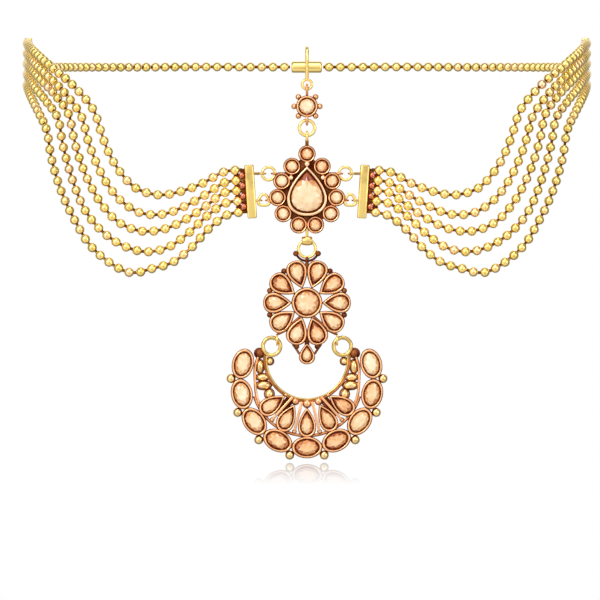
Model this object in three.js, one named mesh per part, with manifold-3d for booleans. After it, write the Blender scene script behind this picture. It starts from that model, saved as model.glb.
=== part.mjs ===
// Layered head chain: a brooch on the forehead, five draped ball chains to each side, a flower and a crescent
// hanging below, and a hook into the hair above. Millimetres. The jewel is laid out facing the viewer
// (x right, y up, z toward the viewer, y = 0 at the brooch's centre) and is turned upright at the end.
import * as THREE from 'three';
import { mergeVertices } from 'three/addons/utils/BufferGeometryUtils.js';
import { ConvexGeometry } from 'three/addons/geometries/ConvexGeometry.js';
import Module from 'manifold-3d';

const wasm = await Module();
wasm.setup();

// Levels toward the viewer that every setting shares
const level = {
  back: -0.8,
  floor: -0.2,
  stoneBase: 0.1,
  link: 0.2,
  hinge: 0.5,
  topLink: 0.75,
  girdle: 1.2,
  rim: 1.6,
  table: 2.2,
};
const stoneGap = 0.25;
const hookCrest = 36;

// The head that the chains lie round, seen from above: flat in front, rounder behind
const head = { halfWidth: 71, halfDepth: 95, frontPower: 5, backPower: 2.4 };
const chain = { radius: 1.05, sides: 8, strandStep: 7.2, backStep: 14 };

const brooch = {
  pear: { width: 8.2, height: 10.4, wall: 1.1, centreY: 0.1 },
  cup: { radius: 2.2, foot: 1.3, stone: 1.5, rim: 1.5, table: 2.1 },
  granuleZ: 0.4,
  granules: [{ x: 0, y: 7, radius: 0.8 }, { x: -4, y: 3.6, radius: 0.7 }, { x: 4, y: 3.6, radius: 0.7 }],
  topEyeletY: 13.9,
  bail: { y: -12.2, length: 2.6, outer: 1.2, hole: 0.85 },
};
const cups = [
  { x: 0, y: 9.5 },
  { x: 3.75, y: 6.4 },
  { x: 6.3, y: 2.75 },
  { x: 7.35, y: -1.4 },
  { x: 5.95, y: -5.4 },
  { x: 2.1, y: -8.2 },
];
const eyelet = { ring: 0.85, wire: 0.25 };
const topEyelet = { ring: 1.2, wire: 0.35 };
// The upper link rings are round, the lower ones are rounded triangles that point up
const linkRings = [
  { name: 'upper', x: 9.6, y: 4.6, ring: 1.62, wire: 0.35, corner: 0 },
  { name: 'lower', x: 10.8, y: -2.1, ring: 1.38, wire: 0.35, corner: 0.11 },
];
const topRing = { y: 16, ring: 1.93, wire: 0.37 };
const motif = {
  y: 21.4,
  stone: 2.0,
  cup: 2.75,
  eyeletY: { lower: 18.1, upper: 25.6 },
  hookEyeY: 26.9,
  granule: { radius: 0.75, orbit: 3.2, turns: [42, 90, 138] },
};

const spacer = { x: 14.1, y: 0.1, width: 2.4, height: 13.4, depth: 2, tilt: 3.7 };
const endBar = { back: 78.2, y: 33, width: 2.4, height: 13.6, depth: 2 };
const clasp = { length: 8, radius: 1.5, y: 34 };

const flower = {
  y: -27.7,
  petals: 10,
  petal: { tip: 3.7, end: 11, width: 5.35, stoneTip: 4.9, stoneEnd: 10.35, stoneWidth: 3.5 },
  centre: { cup: 3.9, stone: 3.05 },
  bailRing: { y: 13.5, ring: 2.15, wire: 0.35 },
  tab: { x: 7.48, y: -9.2, ring: 1.3, wire: 0.3 },
  drop: { tip: -10, end: -15.4, width: 4.1, stoneTip: -10.9, stoneEnd: -14.7, stoneWidth: 2.5 },
  post: { width: 1.2, depth: 1.4, top: { y: 9.6, height: 4 }, bottom: { y: -9.2, height: 3.6 } },
  arm: { x: 5.9, y: -7.1, length: 3.2, width: 0.8, depth: 1, tilt: 26 },
  granule: { radius: 0.72, z: 0.6, orbit: 9.8, turns: [54, 18, -18] },
  sideGranules: [{ x: 2.8, y: 12.3 }, { x: 2.6, y: -10.9 }],
};

const crescent = {
  y: -47.25,
  radius: 16.6,
  ovals: 9,
  ovalStep: 26.25,
  oval: { along: 7.8, across: 5.5, stoneAlong: 5.9, stoneAcross: 4.0 },
  ball: { radius: 1.2, orbit: 19 },
  rim: { y: -41.6, radius: 10.4, wire: 0.45 },
  pears: 5,
  pearStep: 28,
  pear: { tip: 6.5, end: 14.2, width: 4.6, stoneTip: 7.7, stoneEnd: 13.3, stoneWidth: 3.1 },
  hornRing: { x: 8.85, y: -38.6, ring: 2.2, wire: 0.5 },
  hornBalls: [
    { x: 11.9, y: -40.3, halfWidth: 1.15, halfHeight: 1.15 },
    { x: 9.25, y: -42.3, halfWidth: 0.85, halfHeight: 0.85 },
    { x: 11.75, y: -43.6, halfWidth: 0.95, halfHeight: 1.7 },
    { x: 11.1, y: -46.3, halfWidth: 1.65, halfHeight: 0.85 },
    { x: 10.85, y: -48.3, halfWidth: 1.95, halfHeight: 1.05 },
    { x: 9.4, y: -50.5, halfWidth: 1.15, halfHeight: 1.3 },
  ],
  frameWire: [[11.9, -40.3], [12.95, -43.5], [13, -47.2], [12.6, -51], [11.6, -53.6]],
  filigreeZ: 0.3,
  wire: 0.4,
};

// Each strand from its spacer bar: first over the front of the head (out to the side, rise), then round the
// side of the head to the end bar (back from the brow, rise)
const strands = [
  {
    front: [
      [16.25, 5.6], [20.9, 5.0], [25.9, 2.3], [31.5, 0.2], [37.1, -0.7], [42.8, 1.0], [46.8, 5.1],
      [49.75, 10.2], [51.75, 15.7], [53.4, 20.5],
    ],
    side: [[8.5, 26.5], [16, 31.5], [28, 35.2], [45, 37.4], [60, 38.1], [76.5, 38.2]],
  },
  {
    front: [
      [16.0, 3.0], [20.5, 2.4], [25.3, -0.6], [30.5, -3.5], [35.9, -5.5], [41.6, -5.2], [46.6, -2.1],
      [50.2, 2.4], [52.9, 7.7], [54.9, 13.2], [56.5, 19],
    ],
    side: [[11, 25], [18.5, 29.6], [31, 33], [47, 35], [61, 35.6], [76.5, 35.6]],
  },
  {
    front: [
      [15.85, 0.4], [20.5, -0.1], [25.3, -3.5], [30.3, -6.8], [35.9, -9.3], [41.7, -9.7], [47.3, -7.4],
      [51.4, -3], [54.4, 2.1], [56.8, 7.9], [58.4, 13.5], [59.7, 19.5],
    ],
    side: [[14.5, 24.6], [22.5, 28.4], [35, 31.2], [50, 32.6], [62, 33], [76.5, 33]],
  },
  {
    front: [
      [15.6, -2.2], [20.3, -2.75], [25.4, -6.3], [29.7, -10.3], [35, -13.9], [40.7, -14.9], [46.6, -13.1],
      [51.6, -9.5], [55.4, -4.8], [57.9, 0.7], [59.8, 6.5], [61.3, 12.4], [62.4, 18.4],
    ],
    side: [[18.5, 22.8], [27, 26.2], [39, 28.7], [52, 30], [64, 30.4], [76.5, 30.4]],
  },
  {
    front: [
      [15.4, -4.9], [19.9, -5.7], [24.7, -9.3], [28.8, -13.8], [33.7, -17.6], [39.4, -19.3], [42.4, -20.1],
      [45.2, -19.9], [50.4, -16.9], [54.7, -12.8], [57.8, -7.7], [60.5, -2.4], [62.7, 3.4], [64.3, 9.4],
      [65.3, 15.4],
    ],
    side: [[25, 20.4], [34, 23.9], [45, 26.2], [56, 27.4], [66, 27.8], [76.5, 27.8]],
  },
];
const backRoute = [
  [79.9, 33], [100, 33], [122, 33], [145, 33.3], [165, 33.6], [178, 33.8], [186, 34], [189.3, 34],
];

const looks = {
  brightGold: { color: 0xf0c85a, roughness: 0.22, metalness: 1 },
  antiqueGold: { color: 0xb5713d, roughness: 0.38, metalness: 1 },
  peachStone: { color: 0xf4c39a, roughness: 0.06, metalness: 0 },
};
const sides = [{ name: 'left', sign: -1 }, { name: 'right', sign: 1 }];
const degrees = Math.PI / 180;
const jewel = new THREE.Group();

// Solids
function solid(geometry) {
  const bare = geometry.clone();
  bare.deleteAttribute('normal');
  bare.deleteAttribute('uv');
  const merged = mergeVertices(bare, 1e-4);
  const index = merged.index.array;
  const kept = [];
  for (let i = 0; i < index.length; i += 3) {
    const [a, b, c] = [index[i], index[i + 1], index[i + 2]];
    if (a !== b && b !== c && c !== a) kept.push(a, b, c);
  }
  const vertProperties = new Float32Array(merged.attributes.position.array);
  return new wasm.Manifold(new wasm.Mesh({ numProp: 3, vertProperties, triVerts: new Uint32Array(kept) }));
}

function joined(geometries) {
  return geometries.map(solid).reduce((whole, piece) => whole.add(piece));
}

function geometryOf(manifold) {
  const mesh = manifold.getMesh();
  const geometry = new THREE.BufferGeometry();
  geometry.setAttribute('position', new THREE.BufferAttribute(new Float32Array(mesh.vertProperties), 3));
  geometry.setIndex(new THREE.BufferAttribute(new Uint32Array(mesh.triVerts), 1));
  return geometry;
}

function addPiece(name, geometry, look) {
  const mesh = new THREE.Mesh(geometry, new THREE.MeshStandardMaterial(looks[look]));
  mesh.name = name;
  jewel.add(mesh);
}

// Outlines, as points in the jewel's plane
function ovalOutline(along, across, count) {
  return Array.from({ length: count }, (_, i) => {
    const turn = (2 * Math.PI * i) / count;
    return new THREE.Vector2((along / 2) * Math.cos(turn), (across / 2) * Math.sin(turn));
  });
}

// A pear with its tip at x = tip and its round end at x = end: across = width * sin(t) * sin(t / 2), which is
// widest two thirds of the way from the tip
function pearOutline(tip, end, width, count) {
  const widest = 0.7698;
  return Array.from({ length: count }, (_, i) => {
    const turn = (2 * Math.PI * i) / count;
    const along = tip + ((end - tip) * (1 - Math.cos(turn))) / 2;
    const across = ((width / 2) * Math.sin(turn) * Math.sin(turn / 2)) / widest;
    return new THREE.Vector2(along, end > tip ? across : -across);
  });
}

function slab(outline, bottom, top) {
  const shape = new THREE.Shape(outline);
  const geometry = new THREE.ExtrudeGeometry(shape, { depth: top - bottom, bevelEnabled: false });
  return geometry.translate(0, 0, bottom);
}

// A collar round a stone: an outer wall with a pocket that is open to the front
function collar(outer, pocket) {
  return solid(slab(outer, level.back, level.rim)).subtract(solid(slab(pocket, level.floor, level.rim + 1)));
}

// A cut stone: flat base, girdle and table, with facets between them
function cutStone(outline) {
  const sum = outline.reduce((total, point) => total.add(point), new THREE.Vector2());
  const centre = sum.divideScalar(outline.length);
  const rows = [
    { height: level.stoneBase, share: 0.72, stride: 2 },
    { height: level.girdle, share: 1, stride: 1 },
    { height: level.table, share: 0.58, stride: 2 },
  ];
  const points = [];
  for (const row of rows) {
    for (let i = 0; i < outline.length; i += row.stride) {
      const place = outline[i].clone().sub(centre).multiplyScalar(row.share).add(centre);
      points.push(new THREE.Vector3(place.x, place.y, row.height));
    }
  }
  return new ConvexGeometry(points);
}

function placed(geometry, angle, x, y) {
  return geometry.clone().rotateZ(angle).translate(x, y, 0);
}

function ball(radius, x, y, z, across = 6, down = 4) {
  return new THREE.SphereGeometry(radius, across, down).rotateX(Math.PI / 2).translate(x, y, z);
}

function faceOnRing(spec, x, y, z, count = 12) {
  return new THREE.TorusGeometry(spec.ring, spec.wire, 5, count).translate(x, y, z);
}

// A link ring whose reach grows toward three corners, one of them at the top
function linkRing(spec, x, y, z) {
  const count = 12;
  const points = Array.from({ length: count }, (_, i) => {
    const turn = (2 * Math.PI * i) / count;
    const reach = spec.ring * (1 + spec.corner * Math.cos(3 * (turn - Math.PI / 2)));
    return new THREE.Vector3(x + reach * Math.cos(turn), y + reach * Math.sin(turn), z);
  });
  const path = new THREE.CatmullRomCurve3(points, true);
  return new THREE.TubeGeometry(path, count, spec.wire, 5, true);
}

function stretchedBall({ x, y, halfWidth, halfHeight }, z) {
  const depth = Math.min(halfWidth, halfHeight, 1.1);
  return ball(1, 0, 0, 0).scale(halfWidth, halfHeight, depth).translate(x, y, z);
}

// A plain wire through points in the jewel's plane
function flatWire(points, radius, z, steps) {
  const route = new THREE.CatmullRomCurve3(points.map(([x, y]) => new THREE.Vector3(x, y, z)));
  const section = new THREE.Shape(ovalOutline(2 * radius, 2 * radius, 6));
  return new THREE.ExtrudeGeometry(section, { steps, extrudePath: route, bevelEnabled: false });
}

// An eyelet seen edge on, that a face-on ring passes through: upright where the ring hangs, level at its side
function uprightEyelet(spec, x, y, z) {
  return new THREE.TorusGeometry(spec.ring, spec.wire, 5, 10).rotateY(Math.PI / 2).translate(x, y, z);
}

function levelEyelet(spec, x, y, z) {
  return new THREE.TorusGeometry(spec.ring, spec.wire, 5, 10).rotateX(Math.PI / 2).translate(x, y, z);
}

function bar(width, height, depth, x, y, z) {
  return new THREE.BoxGeometry(width, height, depth).translate(x, y, z);
}

// Head curve seen from above: depth behind the brow at a distance out, and distance out at a depth
function headDepth(out) {
  const share = 1 - (out / head.halfWidth) ** head.frontPower;
  return head.halfDepth * (1 - share ** (1 / head.frontPower));
}

function headOut(back) {
  const power = back < head.halfDepth ? head.frontPower : head.backPower;
  const share = 1 - Math.abs(1 - back / head.halfDepth) ** power;
  return head.halfWidth * share ** (1 / power);
}

// A chain as a round tube along its route
function chainTube(points, step) {
  const route = new THREE.CatmullRomCurve3(points, false, 'centripetal');
  const steps = Math.round(route.getLength() / step);
  const section = new THREE.Shape(ovalOutline(2 * chain.radius, 2 * chain.radius, chain.sides));
  return new THREE.ExtrudeGeometry(section, { steps, extrudePath: route, bevelEnabled: false });
}

// Brooch
function smallCup(x, y) {
  const { radius, foot, stone, rim, table } = brooch.cup;
  const rows = [
    [0, level.back], [foot, level.back], [radius, rim], [stone, rim], [stone * 0.55, table], [0, table],
  ];
  const profile = rows.map(([reach, height]) => new THREE.Vector2(reach, height));
  return new THREE.LatheGeometry(profile, 8).rotateX(Math.PI / 2).translate(x, y, 0);
}

function broochSetting() {
  const { pear, bail, granules, topEyeletY } = brooch;
  const tip = pear.centreY + pear.height / 2;
  const end = pear.centreY - pear.height / 2;
  const outer = pearOutline(tip + pear.wall + 0.2, end - pear.wall, pear.width + 2 * pear.wall, 14);
  const pocket = pearOutline(tip + 0.35, end - stoneGap, pear.width + 2 * stoneGap, 14);
  const ring = [...cups, ...cups.slice(1).reverse().map(({ x, y }) => ({ x: -x, y }))];
  const plate = ring.map(({ x, y }) => new THREE.Vector2(-x, y));
  const pieces = [slab(plate, level.back, -0.1), ...ring.map(({ x, y }) => smallCup(x, y))];
  pieces.push(...granules.map(({ x, y, radius }) => ball(radius, x, y, brooch.granuleZ)));
  pieces.push(uprightEyelet(topEyelet, 0, topEyeletY, level.topLink));
  pieces.push(bar(0.8, 2.4, 0.8, 0, topEyeletY - 2.1, level.topLink));
  for (const { sign } of sides) {
    for (const link of linkRings) {
      const eyeX = link.x - link.ring;
      pieces.push(levelEyelet(eyelet, sign * eyeX, link.y, level.link));
      pieces.push(bar(2.8, 0.7, 0.7, sign * (eyeX - 2.05), link.y, -0.1));
    }
  }
  const barrel = new THREE.CylinderGeometry(bail.outer, bail.outer, bail.length, 14).rotateZ(Math.PI / 2);
  const hole = new THREE.CylinderGeometry(bail.hole, bail.hole, bail.length + 1, 14).rotateZ(Math.PI / 2);
  const strip = joined([barrel.translate(0, bail.y, level.hinge), bar(1.6, 3, 0.9, 0, bail.y + 2.4, 0)])
    .subtract(solid(hole.translate(0, bail.y, level.hinge)));
  const collarTurned = collar(outer.map(turnUp), pocket.map(turnUp));
  return geometryOf(joined(pieces).add(collarTurned).add(strip));
}

// Turns an outline that runs along x so that it runs along y
function turnUp(point) {
  return new THREE.Vector2(-point.y, point.x);
}

addPiece('brooch_setting', broochSetting(), 'antiqueGold');
const broochTip = brooch.pear.centreY + brooch.pear.height / 2;
const broochPear = pearOutline(broochTip, broochTip - brooch.pear.height, brooch.pear.width, 16);
addPiece('brooch_pear_stone', cutStone(broochPear.map(turnUp)), 'peachStone');

// Link rings and spacer bars
function spacerBar(sign) {
  const turn = -sign * spacer.tilt * degrees;
  const body = bar(spacer.width, spacer.height, spacer.depth, 0, 0, level.link);
  const pieces = [placed(body, turn, sign * spacer.x, spacer.y)];
  for (const link of linkRings) {
    const eyeX = link.x + link.ring;
    pieces.push(levelEyelet(eyelet, sign * eyeX, link.y, level.link));
    pieces.push(bar(1.6, 0.7, 0.7, sign * (eyeX + 1.5), link.y, level.link));
  }
  return geometryOf(joined(pieces));
}

for (const { name, sign } of sides) {
  for (const link of linkRings) {
    const ring = linkRing(link, sign * link.x, link.y, level.link);
    addPiece(`link_ring_${link.name}_${name}`, ring, 'brightGold');
  }
  addPiece(`spacer_bar_${name}`, spacerBar(sign), 'brightGold');
}

// Strands, end bars, back chains and clasp
for (const { name, sign } of sides) {
  strands.forEach(({ front, side }, i) => {
    const points = front.map(([out, rise]) => new THREE.Vector3(sign * out, rise, -headDepth(out)));
    points.push(...side.map(([back, rise]) => new THREE.Vector3(sign * headOut(back), rise, -back)));
    addPiece(`strand_${name}_${i + 1}`, chainTube(points, chain.strandStep), 'brightGold');
  });
  const barX = sign * headOut(endBar.back);
  const barSolid = bar(endBar.depth, endBar.height, endBar.width, barX, endBar.y, -endBar.back);
  addPiece(`end_bar_${name}`, barSolid, 'brightGold');
  const behind = backRoute.map(([back, rise]) => new THREE.Vector3(sign * headOut(back), rise, -back));
  behind.push(new THREE.Vector3(sign * (clasp.length / 2 + 0.35), clasp.y, -2 * head.halfDepth));
  addPiece(`back_chain_${name}`, chainTube(behind, chain.backStep), 'brightGold');
}
const claspBarrel = new THREE.CylinderGeometry(clasp.radius, clasp.radius, clasp.length, 12);
claspBarrel.rotateZ(Math.PI / 2).translate(0, clasp.y, -2 * head.halfDepth);
addPiece('clasp', claspBarrel, 'brightGold');

// Top ring, motif and hair hook
addPiece('top_ring', faceOnRing(topRing, 0, topRing.y, level.topLink), 'brightGold');

function motifRound(radius) {
  return ovalOutline(2 * radius, 2 * radius, 16).map((point) => point.add(new THREE.Vector2(0, motif.y)));
}

function motifSetting() {
  const { granule, eyeletY } = motif;
  const pieces = [
    uprightEyelet(topEyelet, 0, eyeletY.lower, level.topLink),
    uprightEyelet(topEyelet, 0, eyeletY.upper, level.topLink),
  ];
  for (const { sign } of sides) {
    for (const turn of granule.turns) {
      const x = sign * granule.orbit * Math.sin(turn * degrees);
      pieces.push(ball(granule.radius, x, motif.y - granule.orbit * Math.cos(turn * degrees), 0.4));
    }
  }
  return geometryOf(joined(pieces).add(collar(motifRound(motif.cup), motifRound(motif.stone + stoneGap))));
}

addPiece('top_motif_setting', motifSetting(), 'antiqueGold');
addPiece('top_motif_stone', cutStone(motifRound(motif.stone)), 'peachStone');

// Plain wire hook: an eye through the motif's upper eyelet, a shank and a bend toward the hair
function hairHook() {
  const eyeY = motif.hookEyeY;
  const route = new THREE.CatmullRomCurve3([
    new THREE.Vector3(0, eyeY + 1.2, level.topLink),
    new THREE.Vector3(0, eyeY + 4, 1.2),
    new THREE.Vector3(0, hookCrest - 1.3, 1.4),
    new THREE.Vector3(0, hookCrest, 0),
    new THREE.Vector3(0, hookCrest - 1.3, -1.4),
    new THREE.Vector3(0, hookCrest - 4.6, -1.5),
  ]);
  const wire = new THREE.Shape(ovalOutline(0.9, 0.9, 6));
  const shank = new THREE.ExtrudeGeometry(wire, { steps: 12, extrudePath: route, bevelEnabled: false });
  return geometryOf(joined([faceOnRing(topEyelet, 0, eyeY, level.topLink), shank]));
}

addPiece('hair_hook', hairHook(), 'brightGold');

// Flower pendant
function flowerSetting() {
  const { petal, centre, bailRing, tab, drop, post, arm, granule, sideGranules } = flower;
  const pieces = [
    faceOnRing(bailRing, 0, bailRing.y, level.hinge),
    bar(post.width, post.top.height, post.depth, 0, post.top.y, level.hinge),
    bar(post.width, post.bottom.height, post.depth, 0, post.bottom.y, 0.3),
  ];
  for (const { sign } of sides) {
    pieces.push(uprightEyelet(tab, sign * tab.x, tab.y, level.hinge));
    const armBar = bar(arm.length, arm.width, arm.depth, 0, 0, level.hinge);
    pieces.push(placed(armBar, -sign * arm.tilt * degrees, sign * arm.x, arm.y));
    pieces.push(...sideGranules.map(({ x, y }) => ball(granule.radius, sign * x, y, granule.z)));
    for (const angle of granule.turns) {
      const [x, y] = [Math.cos(angle * degrees), Math.sin(angle * degrees)];
      pieces.push(ball(granule.radius, sign * granule.orbit * x, granule.orbit * y, granule.z));
    }
  }
  let whole = joined(pieces).add(collar(
    ovalOutline(2 * centre.cup, 2 * centre.cup, 16),
    ovalOutline(2 * (centre.stone + stoneGap), 2 * (centre.stone + stoneGap), 16),
  ));
  const outer = pearOutline(petal.tip, petal.end, petal.width, 10);
  const pocketWidth = petal.stoneWidth + 2 * stoneGap;
  const pocket = pearOutline(petal.stoneTip - 0.4, petal.stoneEnd + stoneGap, pocketWidth, 10);
  const petalCollar = collar(outer, pocket);
  for (let i = 0; i < flower.petals; i += 1) {
    whole = whole.add(petalCollar.rotate([0, 0, (360 * i) / flower.petals]));
  }
  const dropOuter = pearOutline(drop.tip, drop.end, drop.width, 12).map(turnUp);
  const dropWidth = drop.stoneWidth + 2 * stoneGap;
  const dropPocket = pearOutline(drop.stoneTip + 0.4, drop.stoneEnd - stoneGap, dropWidth, 12).map(turnUp);
  return geometryOf(whole.add(collar(dropOuter, dropPocket))).translate(0, flower.y, 0);
}

addPiece('flower_setting', flowerSetting(), 'antiqueGold');
const centreOutline = ovalOutline(2 * flower.centre.stone, 2 * flower.centre.stone, 16);
addPiece('flower_centre_stone', cutStone(centreOutline).translate(0, flower.y, 0), 'peachStone');
const { petal, drop } = flower;
const petalStone = cutStone(pearOutline(petal.stoneTip, petal.stoneEnd, petal.stoneWidth, 12));
for (let i = 0; i < flower.petals; i += 1) {
  const turn = (2 * Math.PI * i) / flower.petals;
  addPiece(`petal_stone_${i + 1}`, placed(petalStone, turn, 0, flower.y), 'peachStone');
}
const dropStone = cutStone(pearOutline(drop.stoneTip, drop.stoneEnd, drop.stoneWidth, 12).map(turnUp));
addPiece('flower_drop_stone', dropStone.translate(0, flower.y, 0), 'peachStone');

// Crescent pendant, angles counted from straight down
const down = -90 * degrees;

function ovalTurns() {
  const first = -((crescent.ovals - 1) / 2) * crescent.ovalStep;
  return Array.from({ length: crescent.ovals }, (_, i) => down + (first + i * crescent.ovalStep) * degrees);
}

function pearTurns() {
  const first = -((crescent.pears - 1) / 2) * crescent.pearStep;
  return Array.from({ length: crescent.pears }, (_, i) => down + (first + i * crescent.pearStep) * degrees);
}

function crescentSetting() {
  const { oval, ball: bead, rim, pear, hornRing, hornBalls, frameWire, filigreeZ, wire } = crescent;
  const pieces = [];
  for (const turn of ovalTurns().slice(1)) {
    const half = turn - (crescent.ovalStep / 2) * degrees;
    const [x, y] = [bead.orbit * Math.cos(half), crescent.y + bead.orbit * Math.sin(half)];
    pieces.push(ball(bead.radius, x, y, 0.4, 8, 5));
  }
  for (const { sign } of sides) {
    pieces.push(faceOnRing(hornRing, sign * hornRing.x, hornRing.y, level.hinge, 14));
    for (const spec of hornBalls) pieces.push(stretchedBall({ ...spec, x: sign * spec.x }, filigreeZ));
    pieces.push(flatWire(frameWire.map(([x, y]) => [sign * x, y]), wire, filigreeZ, 8));
  }
  for (const turn of pearTurns()) {
    const tip = new THREE.Vector2(pear.tip * Math.cos(turn), crescent.y + pear.tip * Math.sin(turn));
    const fromRim = tip.clone().sub(new THREE.Vector2(0, rim.y));
    const gap = fromRim.length() - rim.radius;
    const middle = fromRim.setLength(rim.radius + gap / 2);
    pieces.push(ball(gap / 2 + 0.35, middle.x, middle.y + rim.y, filigreeZ));
  }
  pieces.push(flatWire(rimPoints(rim), rim.wire, filigreeZ, 20));
  let whole = joined(pieces);
  const ovalCollar = collar(
    ovalOutline(oval.along, oval.across, 14),
    ovalOutline(oval.stoneAlong + 2 * stoneGap, oval.stoneAcross + 2 * stoneGap, 14),
  );
  for (const turn of ovalTurns()) {
    const [x, y] = [crescent.radius * Math.cos(turn), crescent.y + crescent.radius * Math.sin(turn)];
    whole = whole.add(ovalCollar.rotate([0, 0, turn / degrees + 90]).translate([x, y, 0]));
  }
  const pearCollar = collar(
    pearOutline(pear.tip, pear.end, pear.width, 10),
    pearOutline(pear.stoneTip - 0.4, pear.stoneEnd + stoneGap, pear.stoneWidth + 2 * stoneGap, 10),
  );
  for (const turn of pearTurns()) {
    whole = whole.add(pearCollar.rotate([0, 0, turn / degrees]).translate([0, crescent.y, 0]));
  }
  return geometryOf(whole);
}

// The rim wire's points, from horn to horn along the lower half of its circle
function rimPoints(rim) {
  return Array.from({ length: 17 }, (_, i) => {
    const turn = (174 + 12 * i) * degrees;
    return [rim.radius * Math.cos(turn), rim.y + rim.radius * Math.sin(turn)];
  });
}

addPiece('crescent_setting', crescentSetting(), 'antiqueGold');
const ovalStone = cutStone(ovalOutline(crescent.oval.stoneAlong, crescent.oval.stoneAcross, 14));
ovalTurns().forEach((turn, i) => {
  const [x, y] = [crescent.radius * Math.cos(turn), crescent.y + crescent.radius * Math.sin(turn)];
  addPiece(`crescent_oval_stone_${i + 1}`, placed(ovalStone, turn - down, x, y), 'peachStone');
});
const { pear: crescentPear } = crescent;
const crescentPearStone = cutStone(
  pearOutline(crescentPear.stoneTip, crescentPear.stoneEnd, crescentPear.stoneWidth, 12),
);
pearTurns().forEach((turn, i) => {
  addPiece(`crescent_pear_stone_${i + 1}`, placed(crescentPearStone, turn, 0, crescent.y), 'peachStone');
});

// Upright, with the hook's crest at the origin
jewel.rotation.x = Math.PI / 2;
jewel.position.z = -hookCrest;
const necklace = new THREE.Group();
necklace.add(jewel);

export default necklace;
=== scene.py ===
import math

import bmesh
import bpy
import numpy as np

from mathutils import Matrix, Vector


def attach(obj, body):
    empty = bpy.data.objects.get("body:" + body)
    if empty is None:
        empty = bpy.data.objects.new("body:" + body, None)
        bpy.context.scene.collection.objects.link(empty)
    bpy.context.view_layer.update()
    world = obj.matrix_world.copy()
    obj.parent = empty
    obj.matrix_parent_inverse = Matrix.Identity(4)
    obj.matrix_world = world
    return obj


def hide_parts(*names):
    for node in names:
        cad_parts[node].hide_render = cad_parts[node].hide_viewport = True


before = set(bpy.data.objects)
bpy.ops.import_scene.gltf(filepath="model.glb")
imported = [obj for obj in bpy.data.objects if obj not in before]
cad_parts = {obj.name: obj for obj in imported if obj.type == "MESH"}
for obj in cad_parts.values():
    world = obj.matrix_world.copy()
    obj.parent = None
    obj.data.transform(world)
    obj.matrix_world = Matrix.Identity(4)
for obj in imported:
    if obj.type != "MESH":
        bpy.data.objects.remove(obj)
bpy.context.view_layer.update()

# Lengths below are millimetres in the jewel's plane: x right, y up, z toward the viewer, and y = 0 at the
# brooch's centre
hookCrest = 36.0
levels = {"link": 0.2, "hinge": 0.5, "topLink": 0.75}
towardViewer = np.array([0, 0, 1.0])
hands = {"left": -1, "right": 1}
seeded = np.random.default_rng(11)


# Surfaces
def part(verts, quads=(), tris=(), recess=0.0, tone=0.5):
    verts = np.asarray(verts, float).reshape(-1, 3)
    return {
        "verts": verts,
        "quads": np.asarray(quads, int).reshape(-1, 4),
        "tris": np.asarray(tris, int).reshape(-1, 3),
        "recess": np.broadcast_to(np.asarray(recess, float), len(verts)),
        "tone": np.broadcast_to(np.asarray(tone, float), len(verts)),
    }


def gridQuads(rows, cols, closeRows=False):
    i, j = np.meshgrid(np.arange(rows if closeRows else rows - 1), np.arange(cols), indexing="ij")
    down, across = (i + 1) % rows, (j + 1) % cols
    corners = [i * cols + j, i * cols + across, down * cols + across, down * cols + j]
    return np.stack(corners, -1).reshape(-1, 4)


# Rings one behind the other, each closed on itself; a fan to an end point closes the first and the last
def loft(rings, recess=0.0, tone=0.5, closeRows=False, ends=None):
    rows, cols = rings.shape[:2]
    shade = np.broadcast_to(np.asarray(recess, float).reshape(-1, 1), (rows, cols)).ravel()
    quads = gridQuads(rows, cols, closeRows)
    if closeRows:
        return part(rings, quads, (), shade, tone)
    ends = np.stack([rings[0].mean(0), rings[-1].mean(0)]) if ends is None else np.asarray(ends, float)
    ring = np.arange(cols)
    after = (ring + 1) % cols
    top = (rows - 1) * cols
    first = np.stack([after, ring, np.full(cols, rows * cols)], 1)
    last = np.stack([ring + top, after + top, np.full(cols, rows * cols + 1)], 1)
    verts = np.concatenate([rings.reshape(-1, 3), ends])
    shade = np.concatenate([shade, [shade[0], shade[-1]]])
    return part(verts, quads, np.concatenate([first, last]), shade, tone)


def moved(piece, x=0.0, y=0.0, z=0.0, turn=0.0):
    c, s = math.cos(turn), math.sin(turn)
    spin = np.array([[c, -s, 0], [s, c, 0], [0, 0, 1]])
    return {**piece, "verts": piece["verts"] @ spin.T + np.array([x, y, z])}


def joined(parts):
    starts = np.cumsum([0] + [len(p["verts"]) for p in parts])
    whole = {key: np.concatenate([p[key] for p in parts]) for key in ("verts", "recess", "tone")}
    for key in ("quads", "tris"):
        whole[key] = np.concatenate([p[key] + start for p, start in zip(parts, starts)])
    return whole


def circleSteps(count):
    return np.arange(count) * 2 * np.pi / count


# Ball: circles of radius sin(latitude) at height cos(latitude), stretched by three radii
def ball(x, y, z, radius, recess=0.0, tone=0.5, rows=5, cols=12):
    radii = np.broadcast_to(np.asarray(radius, float), 3)
    lat = (np.arange(rows) + 1) * np.pi / (rows + 1)
    lon = circleSteps(cols)
    out, up = np.sin(lat)[:, None], np.cos(lat)[:, None]
    rings = np.stack([out * np.cos(lon), out * np.sin(lon), up + 0 * lon], -1) * radii
    shape = loft(rings, recess, tone, ends=[[0, 0, radii[2]], [0, 0, -radii[2]]])
    return moved(shape, x, y, z)


# Wire ring: a small circle carried round a large one; a corner share draws it out to three corners
def wireRing(x, y, z, ring, wire, facing="front", recess=0.0, count=40, sides=12, corner=0.0):
    along, around = circleSteps(count)[:, None], circleSteps(sides)[None]
    reach = ring * (1 + corner * np.cos(3 * along - 1.5 * np.pi)) + wire * np.cos(around)
    flat = [reach * np.cos(along), reach * np.sin(along), wire * np.sin(around) + 0 * along]
    order = {"front": (0, 1, 2), "side": (2, 0, 1), "level": (0, 2, 1)}[facing]
    rings = np.stack([flat[i] for i in order], -1)
    return moved(loft(rings, recess, closeRows=True), x, y, z)


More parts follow.
